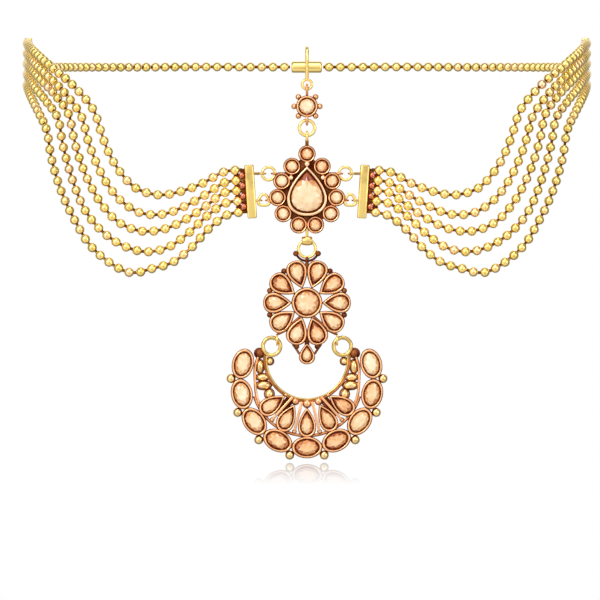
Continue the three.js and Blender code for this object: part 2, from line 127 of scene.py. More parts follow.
# Axes along a path: square to it and to a lead direction that is never along it, square to both, and ahead
def pathAxes(path, lead):
    ahead = np.gradient(path, axis=0)
    ahead /= np.linalg.norm(ahead, axis=1, keepdims=True)
    side = np.cross(ahead, lead)
    side /= np.linalg.norm(side, axis=1, keepdims=True)
    return side, np.cross(side, ahead), ahead


# Wire along a path: circles square to the path
def wire(path, radius, lead=towardViewer, sides=8, recess=0.0, tone=0.5):
    side, over = pathAxes(path, lead)[:2]
    around = circleSteps(sides)
    circle = np.cos(around)[None, :, None] * side[:, None] + np.sin(around)[None, :, None] * over[:, None]
    return loft(path[:, None] + radius * circle, recess, tone)


# Rounded bar: a superellipse section carried along y and drawn in along a quarter circle at both ends
def roundedBar(width, height, depth, bevel, recess=0.0, tone=0.5, count=28):
    turn = circleSteps(count)
    squareness = 0.45
    soft = lambda v: np.sign(v) * np.abs(v) ** squareness
    bend = np.linspace(0, np.pi / 2, 5)
    inset = bevel * (1 - np.sin(bend))
    end = height / 2 - bevel * (1 - np.cos(bend))
    inset, along = np.concatenate([inset, inset[::-1]]), np.concatenate([-end, end[::-1]])
    rings = np.stack([
        (width / 2 - inset)[:, None] * soft(np.cos(turn)),
        along[:, None] + 0 * turn,
        (depth / 2 - inset)[:, None] * soft(np.sin(turn)),
    ], -1)
    return loft(rings, recess, tone)


# Outlines in the jewel's plane
def ovalLine(along, across, count=36):
    turn = circleSteps(count)
    return np.stack([along / 2 * np.cos(turn), across / 2 * np.sin(turn)], 1)


# Pear: across = width * sin(t) * sin(t / 2), from the tip (t = 0) round the full end
def pearLine(tip, end, width, count=40):
    turn = circleSteps(count)
    along = tip + (end - tip) * (1 - np.cos(turn)) / 2
    fullest = 0.7698  # the largest value of sin(t) * sin(t / 2)
    return np.stack([along, width / 2 * np.sin(turn) * np.sin(turn / 2) / fullest], 1)


# A quarter turn, so that a line drawn along x stands up
def upright(line):
    return np.stack([-line[:, 1], line[:, 0]], 1)


# Bezel: a profile carried round. Each row is a share of the way from the stone's outline to the outer one, a
# height and a recess; the recess darkens the wall beside the stone and the outer edge: oxide in the hollows
# and painted shade
stoneRim = np.array([
    [-0.20, -0.20, 1.0], [-0.20, 0.95, 1.0], [-0.12, 1.18, 1.0], [0.08, 1.22, 1.0], [0.17, 1.42, 0.4],
    [0.29, 1.56, 0.0], [0.50, 1.60, 0.0], [0.69, 1.53, 0.0], [0.82, 1.32, 0.55], [0.91, 1.0, 1.0],
    [1.0, 0.20, 0.5], [0.96, -0.50, 0.3], [0.86, -0.80, 0.12],
])
cupRim = np.array([
    [-0.20, -0.20, 1.0], [-0.20, 0.90, 1.0], [-0.10, 1.10, 1.0], [0.15, 1.14, 1.0], [0.24, 1.34, 0.45],
    [0.38, 1.48, 0.0], [0.58, 1.52, 0.0], [0.74, 1.42, 0.1], [0.88, 1.15, 0.6], [1.0, 0.80, 1.0],
    [0.72, 0.20, 0.5], [0.30, -0.50, 0.3], [0.0, -0.80, 0.12],
])


def bezel(stone, outer, profile, tone=0.5):
    share, height, recess = profile.T
    flat = stone[None] + share[:, None, None] * (outer - stone)[None]
    rings = np.concatenate([flat, np.broadcast_to(height[:, None, None], flat.shape[:2] + (1,))], -1)
    return loft(rings, recess, tone)


# Settings: a bezel whose inner outline is the stone's, a little larger
seat = {"tip": 0.15, "end": 0.06, "width": 0.1}


def roundSetting(size):
    stone, outer = 2 * size["stone"] + seat["width"], 2 * size["cup"]
    return bezel(ovalLine(stone, stone), ovalLine(outer, outer), stoneRim)


def pearSetting(size):
    tip, end = size["stoneTip"] - seat["tip"], size["stoneEnd"] + seat["end"]
    stone = pearLine(tip, end, size["stoneWidth"] + seat["width"])
    return bezel(stone, pearLine(size["tip"], size["end"], size["width"]), stoneRim)


# Cut stones: heights of the base, the girdle's two edges, the crown points and the table, the share of the
# outline at each, and the middle tint and spread of every kind of facet. These tints are painted light: the
# table and stars lighter, the crown and girdle darker, for the light the stone gives back
stoneHeights = {"large": (0.1, 1.05, 1.22, 1.78, 2.15), "small": (0.1, 0.9, 1.15, 1.65, 1.95)}
stoneShares = {"base": 0.70, "girdle": 0.95, "crown": 0.80, "table": 0.56}
facetLightTints = {
    "lower": (0.15, 0.1), "girdle": (0.32, 0.2), "kite": (0.58, 0.36), "base": (0.2, 0.1),
    "break": (0.38, 0.3), "star": (0.76, 0.3), "table": (0.82, 0.16),
}
stoneTint = 0.74
tipFade = {"start": 0.25, "over": 0.35}  # shares of the way from the centre to the tip


# Cut stone: table, crown points between the table and the girdle, girdle, and a base drawn in
def cutStone(line, size="large", tipShade=0.0, deep=0.0, spread=0.16, contrast=1.0):
    centre = line.mean(0)
    count, n = len(line), len(line) // 2
    ring, half = np.arange(count), np.arange(n)
    baseZ, lowZ, highZ, crownZ, tableZ = stoneHeights[size]

    def level(points, share, height):
        flat = centre + (points - centre) * stoneShares[share]
        return np.column_stack([flat, np.full(len(points), height)])

    verts = np.concatenate([
        level(line, "base", baseZ), level(line, "girdle", lowZ), level(line, "girdle", highZ),
        level(line[1::2], "crown", crownZ), level(line[::2], "table", tableZ),
        [[*centre, tableZ], [*centre, baseZ]],
    ])
    low, mid, high, crown, table = 0, count, 2 * count, 3 * count, 3 * count + n
    top, bottom = table + n, table + n + 1
    after, afterHalf = (ring + 1) % count, (half + 1) % n
    quads = np.concatenate([
        np.stack([low + ring, low + after, mid + after, mid + ring], 1),
        np.stack([mid + ring, mid + after, high + after, high + ring], 1),
        np.stack([table + half, crown + (half - 1) % n, high + 2 * half, crown + half], 1),
    ])
    tris = np.concatenate([
        np.stack([np.full(count, bottom), low + after, low + ring], 1),
        np.stack([high + 2 * half, high + 2 * half + 1, crown + half], 1),
        np.stack([high + 2 * half + 1, high + 2 * afterHalf, crown + half], 1),
        np.stack([table + half, crown + half, table + afterHalf], 1),
        np.stack([table + half, table + afterHalf, np.full(n, top)], 1),
    ])
    kinds = [
        ("lower", count), ("girdle", count), ("kite", n),
        ("base", count), ("break", n), ("break", n), ("star", n), ("table", n),
    ]
    facet = np.concatenate([
        facetLightTints[kind][0] + facetLightTints[kind][1] * (seeded.random(number) - 0.5) for kind, number in kinds])
    facet = stoneTint + contrast * (facet - stoneTint)
    middles = np.concatenate([verts[quads].mean(1), verts[tris].mean(1)])[:, :2] - centre
    toTip = line[0] - centre
    share = middles @ toTip / (toTip @ toTip)
    facet -= tipShade * np.clip((share - tipFade["start"]) / tipFade["over"], 0, 1)
    facet -= deep + spread * (seeded.random() - 0.5)
    return {**part(verts, quads, tris), "facet": np.clip(facet, 0, 1)}


def roundStone(radius, count, size="large", **shade):
    return cutStone(ovalLine(2 * radius, 2 * radius, count), size, **shade)


def pearStone(size):
    line = pearLine(size["stoneTip"], size["stoneEnd"], size["stoneWidth"], count=16)
    return cutStone(line, **size["shade"])


sharpAngle = math.radians(55)


# Piece: its parts joined into one mesh, in the frame's metres, with the shades that its look reads
def makePiece(name, parts, slot, body, nodes=()):
    whole = joined(parts)
    faceted = "facet" in parts[0]
    verts = whole["verts"]
    placed = np.stack([verts[:, 0], -verts[:, 2], verts[:, 1] - hookCrest], 1) / 1000
    mesh = bpy.data.meshes.new(name)
    mesh.from_pydata(placed.tolist(), [], whole["quads"].tolist() + whole["tris"].tolist())
    for key in ("recess", "tone"):
        mesh.attributes.new(key, "FLOAT", "POINT").data.foreach_set("value", whole[key].astype(np.float32))
    if faceted:
        quadTints = np.concatenate([p["facet"][:len(p["quads"])] for p in parts])
        triTints = np.concatenate([p["facet"][len(p["quads"]):] for p in parts])
        tints = np.concatenate([quadTints, triTints]).astype(np.float32)
        mesh.attributes.new("facet", "FLOAT", "FACE").data.foreach_set("value", tints)
    shell = bmesh.new()
    shell.from_mesh(mesh)
    bmesh.ops.recalc_face_normals(shell, faces=shell.faces)
    shell.to_mesh(mesh)
    shell.free()
    mesh.polygons.foreach_set("use_smooth", np.full(len(mesh.polygons), not faceted))
    if not faceted:
        mesh.set_sharp_from_angle(angle=sharpAngle)
    mesh.materials.append(looks[slot])
    piece = bpy.data.objects.new(name, mesh)
    bpy.context.scene.collection.objects.link(piece)
    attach(piece, body)
    if nodes:
        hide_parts(*nodes)


# Materials
def groupShell(name, inputs, outputs):
    tree = bpy.data.node_groups.new(name, "ShaderNodeTree")
    for label, kind, value in inputs:
        tree.interface.new_socket(label, in_out="INPUT", socket_type=kind).default_value = value
    for label, kind in outputs:
        tree.interface.new_socket(label, in_out="OUTPUT", socket_type=kind)
    return tree, tree.nodes.new("NodeGroupInput"), tree.nodes.new("NodeGroupOutput")


def noiseAt(tree, scale, detail=3.0):
    place = tree.nodes.new("ShaderNodeTexCoord")
    noise = tree.nodes.new("ShaderNodeTexNoise")
    noise.inputs["Scale"].default_value = scale
    noise.inputs["Detail"].default_value = detail
    tree.links.new(place.outputs["Object"], noise.inputs["Vector"])
    return noise.outputs["Fac"]


def ranged(tree, value, fromLow, fromHigh, toLow=0.0, toHigh=1.0):
    node = tree.nodes.new("ShaderNodeMapRange")
    limits = {"From Min": fromLow, "From Max": fromHigh, "To Min": toLow, "To Max": toHigh}
    for label, number in limits.items():
        node.inputs[label].default_value = number
    tree.links.new(value, node.inputs["Value"])
    return node.outputs["Result"]


# Speckle: the middle range of a noise, spread from low to high
def speckle(tree, scale, low, high, detail=3.0):
    return ranged(tree, noiseAt(tree, scale, detail), 0.3, 0.7, low, high)


def maths(tree, operation, first, second):
    node = tree.nodes.new("ShaderNodeMath")
    node.operation = operation
    for socket, value in zip(node.inputs, (first, second)):
        if isinstance(value, (int, float)):
            socket.default_value = value
        else:
            tree.links.new(value, socket)
    return node.outputs[0]


def mixed(tree, factor, first, second):
    node = tree.nodes.new("ShaderNodeMix")
    node.data_type = "RGBA"
    tree.links.new(factor, node.inputs[0])
    for socket, value in ((node.inputs[6], first), (node.inputs[7], second)):
        if isinstance(value, tuple):
            socket.default_value = (*value, 1)
        else:
            tree.links.new(value, socket)
    return node.outputs[2]


def attribute(tree, name):
    node = tree.nodes.new("ShaderNodeAttribute")
    node.attribute_name = name
    return node.outputs["Fac"]


def ramp(tree, value, stops):
    node = tree.nodes.new("ShaderNodeValToRGB")
    band = node.color_ramp
    while len(band.elements) < len(stops):
        band.elements.new(0.5)
    for element, (place, colour) in zip(band.elements, stops):
        element.position = place
        element.color = (*colour, 1)
    tree.links.new(value, node.inputs["Fac"])
    return node.outputs["Color"]


# Fine hand-worked unevenness, as a normal
def castSkinGroup():
    tree, given, out = groupShell(
        "castSkin", [("Strength", "NodeSocketFloat", 0.2)], [("Normal", "NodeSocketVector")])
    bump = tree.nodes.new("ShaderNodeBump")
    bump.inputs["Distance"].default_value = 0.0001
    tree.links.new(noiseAt(tree, scale=900), bump.inputs["Height"])
    tree.links.new(given.outputs["Strength"], bump.inputs["Strength"])
    tree.links.new(bump.outputs["Normal"], out.inputs["Normal"])
    return tree


# Oxide and painted shade: dark in the recesses, broken up by noise (oxide in the hollows, and painted shade)
def oxideAndShadeGroup():
    tree, given, out = groupShell(
        "oxideAndShade", [("Recess", "NodeSocketFloat", 0.0)], [("Depth", "NodeSocketFloat")])
    spread = speckle(tree, 520, low=-0.16, high=0.16)
    depth = maths(tree, "ADD", given.outputs["Recess"], spread)
    tree.links.new(ranged(tree, depth, 0.0, 1.0), out.inputs["Depth"])
    return tree


castSkin = castSkinGroup()
oxideAndShade = oxideAndShadeGroup()


def newLook(name):
    look = bpy.data.materials.new(name)
    look.use_nodes = True
    tree = look.node_tree
    return look, tree, tree.nodes["Principled BSDF"].inputs


def useGroup(tree, group, **values):
    node = tree.nodes.new("ShaderNodeGroup")
    node.node_tree = group
    for label, value in values.items():
        if isinstance(value, float):
            node.inputs[label].default_value = value
        else:
            tree.links.new(value, node.inputs[label])
    return node.outputs[0]


antiqueTones = {
    "pale": (1.0, 0.72, 0.44), "bright": (0.94, 0.52, 0.26), "brick": (0.60, 0.19, 0.11),
    "middle": (0.58, 0.21, 0.07), "dark": (0.13, 0.022, 0.006),
}


def antiqueGoldLook():
    look, tree, shader = newLook("antiqueGold")
    depth = useGroup(tree, oxideAndShade, Recess=attribute(tree, "recess"))
    bare = ramp(tree, attribute(tree, "tone"), [
        (0.0, antiqueTones["pale"]), (0.5, antiqueTones["bright"]), (1.0, antiqueTones["brick"])])
    # The middle and dark tones over the recesses: oxide in the hollows and painted shade
    upper = mixed(tree, ranged(tree, depth, 0.0, 0.5), bare, antiqueTones["middle"])
    colour = mixed(tree, ranged(tree, depth, 0.4, 0.95), upper, antiqueTones["dark"])
    tree.links.new(colour, shader["Base Color"])
    tree.links.new(ranged(tree, depth, 0.0, 1.0, 0.24, 0.6), shader["Roughness"])
    tree.links.new(useGroup(tree, castSkin, Strength=0.18), shader["Normal"])
    shader["Metallic"].default_value = 1.0
    return look


goldTones = {
    "olive": (0.86, 0.62, 0.16), "yellow": (1.0, 0.73, 0.24), "rosy": (1.0, 0.67, 0.36),
    "dark": (0.16, 0.06, 0.012),
}


def brightGoldLook():
    look, tree, shader = newLook("brightGold")
    hue = ramp(tree, attribute(tree, "tone"), [
        (0.0, goldTones["olive"]), (0.5, goldTones["yellow"]), (1.0, goldTones["rosy"])])
    depth = useGroup(tree, oxideAndShade, Recess=attribute(tree, "recess"))
    # Dark over the recesses: mostly painted shade, such as between the beads and round the parts
    colour = mixed(tree, ranged(tree, depth, 0.15, 1.0), hue, goldTones["dark"])
    tree.links.new(colour, shader["Base Color"])
    tree.links.new(speckle(tree, 300, low=0.14, high=0.24), shader["Roughness"])
    tree.links.new(useGroup(tree, castSkin, Strength=0.07), shader["Normal"])
    shader["Metallic"].default_value = 1.0
    return look


stoneTones = [
    (0.0, (0.24, 0.035, 0.015)), (0.18, (0.54, 0.18, 0.055)), (0.36, (0.70, 0.32, 0.115)),
    (0.55, (0.78, 0.48, 0.235)), (0.78, (0.84, 0.62, 0.38)), (1.0, (0.90, 0.75, 0.53)),
]


def peachStoneLook():
    look, tree, shader = newLook("peachStone")
    cloud = speckle(tree, 420, low=-0.14, high=0.14, detail=2.0)
    tint = maths(tree, "ADD", attribute(tree, "facet"), cloud)
    tree.links.new(ramp(tree, tint, stoneTones), shader["Base Color"])
    tree.links.new(speckle(tree, 800, low=0.04, high=0.10), shader["Roughness"])
    shader["IOR"].default_value = 1.6
    shader["Coat Weight"].default_value = 0.4
    shader["Coat Roughness"].default_value = 0.03
    return look


looks = {"bright_gold": brightGoldLook(), "antique_gold": antiqueGoldLook(), "peach_stone": peachStoneLook()}
print("materials made")

# Chains: the same routes as the construction, over the front of the head and round its side
head = {"halfWidth": 71.0, "halfDepth": 95.0, "frontPower": 5.0, "backPower": 2.4}
strands = [
    {
        "front": [
            [16.25, 5.6], [20.9, 5.0], [25.9, 2.3], [31.5, 0.2], [37.1, -0.7], [42.8, 1.0], [46.8, 5.1],
            [49.75, 10.2], [51.75, 15.7], [53.4, 20.5],
        ],
        "side": [[8.5, 26.5], [16, 31.5], [28, 35.2], [45, 37.4], [60, 38.1], [76.5, 38.2]],
    },
    {
        "front": [
            [16.0, 3.0], [20.5, 2.4], [25.3, -0.6], [30.5, -3.5], [35.9, -5.5], [41.6, -5.2],
            [46.6, -2.1], [50.2, 2.4], [52.9, 7.7], [54.9, 13.2], [56.5, 19],
        ],
        "side": [[11, 25], [18.5, 29.6], [31, 33], [47, 35], [61, 35.6], [76.5, 35.6]],
    },
    {
        "front": [
            [15.85, 0.4], [20.5, -0.1], [25.3, -3.5], [30.3, -6.8], [35.9, -9.3], [41.7, -9.7],
            [47.3, -7.4], [51.4, -3], [54.4, 2.1], [56.8, 7.9], [58.4, 13.5], [59.7, 19.5],
        ],
        "side": [[14.5, 24.6], [22.5, 28.4], [35, 31.2], [50, 32.6], [62, 33], [76.5, 33]],
    },
    {
        "front": [
            [15.6, -2.2], [20.3, -2.75], [25.4, -6.3], [29.7, -10.3], [35, -13.9], [40.7, -14.9],
            [46.6, -13.1], [51.6, -9.5], [55.4, -4.8], [57.9, 0.7], [59.8, 6.5], [61.3, 12.4],
            [62.4, 18.4],
        ],
        "side": [[18.5, 22.8], [27, 26.2], [39, 28.7], [52, 30], [64, 30.4], [76.5, 30.4]],
    },
    {
        "front": [
            [15.4, -4.9], [19.9, -5.7], [24.7, -9.3], [28.8, -13.8], [33.7, -17.6], [39.4, -19.3],
            [42.4, -20.1], [45.2, -19.9], [50.4, -16.9], [54.7, -12.8], [57.8, -7.7], [60.5, -2.4],
            [62.7, 3.4], [64.3, 9.4], [65.3, 15.4],
        ],
        "side": [[25, 20.4], [34, 23.9], [45, 26.2], [56, 27.4], [66, 27.8], [76.5, 27.8]],
    },
]
backRoute = [
    [79.9, 33], [100, 33], [122, 33], [145, 33.3], [165, 33.6], [178, 33.8], [186, 34], [189.3, 34],
]
backEnd = [4.35, 34, -190]  # beside the clasp
chain = {
    "bead": 1.24, "pitch": 2.95, "pin": 0.38, "pinStep": 1.5, "first": 1.75, "last": 1.5,
    "tone": 0.46, "toneSpread": 0.2,
    "poleShadeGain": 2.4, "poleShadeStart": 1.9,  # painted shade round the holes, where the beads meet
}
headCentre = np.array([0, 0, -head["halfDepth"]])


# Head seen from above: (out / half width) ^ power + (1 - back / half depth) ^ power = 1
def headDepth(out):
    share = 1 - (out / head["halfWidth"]) ** head["frontPower"]
    return head["halfDepth"] * (1 - share ** (1 / head["frontPower"]))


def headOut(back):
    power = np.where(back < head["halfDepth"], head["frontPower"], head["backPower"])
    share = 1 - np.abs(1 - back / head["halfDepth"]) ** power
    return head["halfWidth"] * share ** (1 / power)


# Places at the head's side, from how far back and how high they are
def besideHead(route):
    back, up = np.array(route, float).T
    return np.column_stack([headOut(back), up, -back])


# Smooth route through points, centripetal: each stretch is a cubic between two points, with end slopes
# weighed by the square roots of the neighbouring distances; then spaced evenly by length
def smoothRoute(points, step):
    points = np.asarray(points, float)
    padded = np.concatenate([[2 * points[0] - points[1]], points, [2 * points[-1] - points[-2]]])
    gaps = np.sqrt(np.linalg.norm(np.diff(padded, axis=0), axis=1))[:, None]
    before, own, after = gaps[:-2], gaps[1:-1], gaps[2:]
    p0, p1, p2, p3 = padded[:-3], padded[1:-2], padded[2:-1], padded[3:]
    leave = ((p1 - p0) / before - (p2 - p0) / (before + own) + (p2 - p1) / own) * own
    arrive = ((p2 - p1) / own - (p3 - p1) / (own + after) + (p3 - p2) / after) * own
    fineness = 40
    t = np.linspace(0, 1, fineness, endpoint=False)[None, :, None]
    p1, p2, leave, arrive = (a[:, None] for a in (p1, p2, leave, arrive))
    curve = (p1 + leave * t + (-3 * p1 + 3 * p2 - 2 * leave - arrive) * t ** 2
             + (2 * p1 - 2 * p2 + leave + arrive) * t ** 3).reshape(-1, 3)
    curve = np.concatenate([curve, points[-1:]])
    length = np.concatenate([[0], np.cumsum(np.linalg.norm(np.diff(curve, axis=0), axis=1))])
    if isinstance(step, tuple):
        first, last, pitch = step
        count = int(round((length[-1] - first - last) / pitch))
        places = np.linspace(first, length[-1] - last, count + 1)
    else:
        places = np.linspace(0, length[-1], int(length[-1] / step) + 2)
    return np.stack([np.interp(places, length, curve[:, k]) for k in range(3)], 1)


# Direction straight out from the head's middle line
def outwardAt(points):
    return (points - headCentre) * np.array([1, 0, 1])


# Ball chain: one ball mesh set at even spaces along the route with its poles along it, on a thin pin wire
def ballChain(points):
    centres = smoothRoute(points, (chain["first"], chain["last"], chain["pitch"]))
    pin = smoothRoute(points, chain["pinStep"])
    one = ball(0, 0, 0, chain["bead"])
    verts = centres[:, None] + one["verts"] @ np.stack(pathAxes(centres, outwardAt(centres)), 1)
    starts = (np.arange(len(centres)) * len(one["verts"]))[:, None, None]
    tone = chain["tone"] + chain["toneSpread"] * seeded.standard_normal(len(centres))
    tone = np.repeat(np.clip(tone, 0, 1), len(one["verts"]))
    # Darker toward the holes, and a dark pin wire: painted shade where the beads meet
    pole = np.abs(one["verts"][:, 2]) / chain["bead"]
    recess = np.tile(np.clip(pole * chain["poleShadeGain"] - chain["poleShadeStart"], 0, 1), len(centres))
    beads = part(verts, one["quads"] + starts, one["tris"] + starts, recess, tone)
    return [beads, wire(pin, chain["pin"], outwardAt(pin), sides=6, recess=1.0)]


for name, sign in hands.items():
    mirror = np.array([sign, 1, 1])
    for number, strand in enumerate(strands, 1):
        out, up = np.array(strand["front"]).T
        front = np.column_stack([out, up, -headDepth(out)])
        points = np.concatenate([front, besideHead(strand["side"])]) * mirror
        makePiece(
            f"strand{name.title()}{number}", ballChain(points), "bright_gold", "head_chain",
            [f"strand_{name}_{number}"])
    points = np.concatenate([besideHead(backRoute), [backEnd]]) * mirror
    makePiece(
        f"backChain{name.title()}", ballChain(points), "bright_gold", "head_chain", [f"back_chain_{name}"])
print("chains made")

# Link rings: the upper ones round, the lower ones drawn out to corners
linkRings = {
    "upper": {"x": 9.6, "y": 4.6, "ring": 1.62, "wire": 0.36, "corner": 0.0},
    "lower": {"x": 10.8, "y": -2.1, "ring": 1.38, "wire": 0.38, "corner": 0.11},
}
eyelet = {"ring": 0.85, "wire": 0.25, "stem": 0.7, "bevel": 0.1, "stemRecess": 0.8}


# Eyelet for a link ring: a level loop and a straight stem beside it
def linkEyelet(sign, x, y, stem):
    loop = wireRing(
        sign * x, y, levels["link"], eyelet["ring"], eyelet["wire"], "level", stem["loopRecess"],
        count=24, sides=8)
    bar = roundedBar(eyelet["stem"], stem["length"], eyelet["stem"], eyelet["bevel"], eyelet["stemRecess"])
    return [loop, moved(bar, sign * (x + stem["offset"]), y, stem["z"], math.pi / 2)]


for name, sign in hands.items():
    for spot, link in linkRings.items():
        loop = wireRing(**{**link, "x": sign * link["x"]}, z=levels["link"], count=48)
        makePiece(
            f"linkRing{spot.title()}{name.title()}", [loop], "bright_gold", "head_chain",
            [f"link_ring_{spot}_{name}"])

# Spacer bars, and beside them a dark strip, brick-red lozenges and dark teeth between the strands: painted
# shade in the gaps by the bar and painted red reflections there
spacer = {
    "x": 14.1, "y": 0.1, "width": 2.4, "height": 13.4, "depth": 2.0, "bevel": 0.4, "tilt": math.radians(3.7),
    "stem": {"length": 1.7, "offset": 1.5, "z": 0.2, "loopRecess": 0.5},
    "shade": {"start": 0.42, "gain": 9, "most": 0.6},  # dark upper end
}
gapShadeAndReflections = {
    "strip": {"x": 1.65, "y": 0.35, "width": 1.3, "height": 11.2, "depth": 0.8, "bevel": 0.2, "z": -0.35},
    "lozenge": {"x": 1.95, "radii": (0.75, 0.85, 0.5), "z": 0.2},
    "tooth": {"x": 2.75, "radii": (1.3, 0.45, 0.4), "z": -0.2},
    "dark": 0.95, "brick": 1.0,
}
strip, lozenge, tooth = (gapShadeAndReflections[key] for key in ("strip", "lozenge", "tooth"))
dark, brick, shade = gapShadeAndReflections["dark"], gapShadeAndReflections["brick"], spacer["shade"]
starts = np.array([strand["front"][0] for strand in strands])
for name, sign in hands.items():
    body = roundedBar(spacer["width"], spacer["height"], spacer["depth"], spacer["bevel"])
    above = body["verts"][:, 1] / spacer["height"] - shade["start"]
    body["recess"] = np.clip(above * shade["gain"], 0, shade["most"])
    parts = [moved(body, sign * spacer["x"], spacer["y"], levels["link"], -sign * spacer["tilt"])]
    for link in linkRings.values():
        parts += linkEyelet(sign, link["x"] + link["ring"], link["y"], spacer["stem"])
    makePiece(f"spacerBar{name.title()}", parts, "bright_gold", "head_chain", [f"spacer_bar_{name}"])
    # The dark strip and teeth are painted shade; the brick lozenges are painted reflections
    backing = roundedBar(strip["width"], strip["height"], strip["depth"], strip["bevel"], dark, brick)
    ends = [moved(backing, sign * strip["x"], strip["y"], strip["z"])]
    for y in (starts[1:, 1] + starts[:-1, 1]) / 2:
        ends.append(ball(sign * lozenge["x"], y, lozenge["z"], lozenge["radii"], tone=brick, rows=4, cols=8))
        ends.append(ball(
            sign * tooth["x"], y, tooth["z"], tooth["radii"], recess=dark, tone=brick, rows=3, cols=8))
    ends = [moved(p, sign * spacer["x"], 0, levels["link"], -sign * spacer["tilt"]) for p in ends]
    makePiece(f"gapShadeAndReflections{name.title()}", ends, "antique_gold", "head_chain")

endBar = {"back": 78.2, "y": 33.0, "width": 2.4, "height": 13.6, "depth": 2.0, "bevel": 0.4}
for name, sign in hands.items():
    body = roundedBar(endBar["depth"], endBar["height"], endBar["width"], endBar["bevel"])
    out = float(headOut(np.array(endBar["back"])))
    body = moved(body, sign * out, endBar["y"], -endBar["back"])
    makePiece(f"endBar{name.title()}", [body], "bright_gold", "head_chain", [f"end_bar_{name}"])

# Clasp: a barrel whose radius is drawn in along a quarter circle at both ends
clasp = {"length": 8.0, "radius": 1.5, "bevel": 0.5, "y": 34.0, "z": -190.0, "sides": 28}
bend = np.linspace(0, np.pi / 2, 6)
end = clasp["length"] / 2 - clasp["bevel"] * (1 - np.cos(bend))
reach = clasp["radius"] - clasp["bevel"] * (1 - np.sin(bend))
along = np.concatenate([-end, end[::-1]])[:, None]
reach = np.concatenate([reach, reach[::-1]])[:, None]
turn = circleSteps(clasp["sides"])
barrel = loft(np.stack([along + 0 * turn, reach * np.cos(turn), reach * np.sin(turn)], -1))
barrel = moved(barrel, 0, clasp["y"], clasp["z"])
makePiece("claspBarrel", [barrel], "bright_gold", "head_chain", ["clasp"])
print("bars and clasp made")

# Brooch
brooch = {
    "pear": {"width": 8.2, "tip": 5.3, "end": -5.1, "wall": 1.1, "tipWall": 1.4, "tone": 0.1},
    "pearSeat": {"width": 0.2, "tip": 0.15, "end": 0.1},
    "pearShade": {"tipShade": 0.75, "deep": 0.05, "contrast": 0.45},
    "cups": [[0, 9.5], [3.75, 6.4], [6.3, 2.75], [7.35, -1.4], [5.95, -5.4], [2.1, -8.2]],
    "cup": 2.2, "stone": 1.5, "stoneCut": {"count": 12, "size": "small", "deep": 0.16, "spread": 0.36},
    # the plate's front is darkened: oxide and painted shade in the hollow between the cups
    "plate": {"bottom": -0.7, "top": -0.1, "recess": (0.12, 0.3, 0.85, 0.85)},
    "granules": [[0, 7.0, 1.0, 0.8], [-4.0, 3.6, 1.0, 0.7], [4.0, 3.6, 1.0, 0.7]],  # x, y, z, radius
    "linkStem": {"length": 2.8, "offset": -2.05, "z": -0.1, "loopRecess": 0.4},
    "topEyeletY": 13.9,
    "topStem": {"y": 11.8, "z": 0.75, "width": 0.9, "height": 2.4, "depth": 0.8, "bevel": 0.1, "recess": 1},
    "bail": {"y": -12.2, "length": 2.6, "outer": 1.2, "count": 28},
    "bailStem": {"y": -9.8, "z": 0, "width": 0.8, "height": 3.0, "depth": 0.7, "bevel": 0.1, "recess": 0.2},
}
bailStrip = np.array([  # share of half the length, depth under the outer radius, recess (darker toward the edges: painted shade)
    [-1.0, 0.35, 0.9], [-0.98, 0.25, 0.7], [-0.8, 0.14, 0.4], [0, 0, 0.25],
    [0.8, 0.14, 0.4], [0.98, 0.25, 0.7], [1.0, 0.35, 0.9],
])
topEyelet = {"z": levels["topLink"], "ring": 1.2, "wire": 0.35}


# Plate: an outline with its edges drawn in a little at the back and front
def flatPlate(line, bottom, top, recess):
    edge = 0.97
    heights = np.array([bottom, bottom, top, top])[:, None, None]
    shares = np.array([edge, 1.0, 1.0, edge])[:, None, None]
    flat = line.mean(0) + shares * (line - line.mean(0))[None]
    return loft(np.concatenate([flat, np.broadcast_to(heights, flat.shape[:2] + (1,))], -1), recess)


# Strip bail: a flat ring section turned round the x axis
def stripBail(bail):
    around = circleSteps(bail["count"])[:, None]
    share, sunk, recess = bailStrip.T
    across, reach = share[None] * bail["length"] / 2, bail["outer"] - sunk[None]
    rings = np.stack([across + 0 * around, reach * np.cos(around), reach * np.sin(around)], -1)
    strip = {**loft(rings, closeRows=True), "recess": np.tile(recess, len(around))}
    return moved(strip, 0, bail["y"], levels["hinge"])


def uprightStem(y, z, **bar):
    return moved(roundedBar(**bar), 0, y, z)


def edgeOnEyelet(y, recess):
    return wireRing(0, y, facing="side", recess=recess, count=32, sides=10, **topEyelet)


pear, pearSeat, wall, pearCount = brooch["pear"], brooch["pearSeat"], brooch["pear"]["wall"], 56
tip, end, width = pear["tip"], pear["end"], pear["width"]
stoneLine = pearLine(tip + pearSeat["tip"], end - pearSeat["end"], width + pearSeat["width"], pearCount)
outerLine = pearLine(tip + pear["tipWall"], end - wall, width + 2 * wall, pearCount)
inner, outer = (ovalLine(2 * brooch[key], 2 * brooch[key], count=24) for key in ("stone", "cup"))
cup = bezel(inner, outer, cupRim)
ring = np.array(brooch["cups"] + [[-x, y] for x, y in brooch["cups"][:0:-1]], float)
parts = [
    bezel(upright(stoneLine), upright(outerLine), stoneRim, pear["tone"]),
    flatPlate(ring, **brooch["plate"]),
]
parts += [moved(cup, x, y) for x, y in ring]
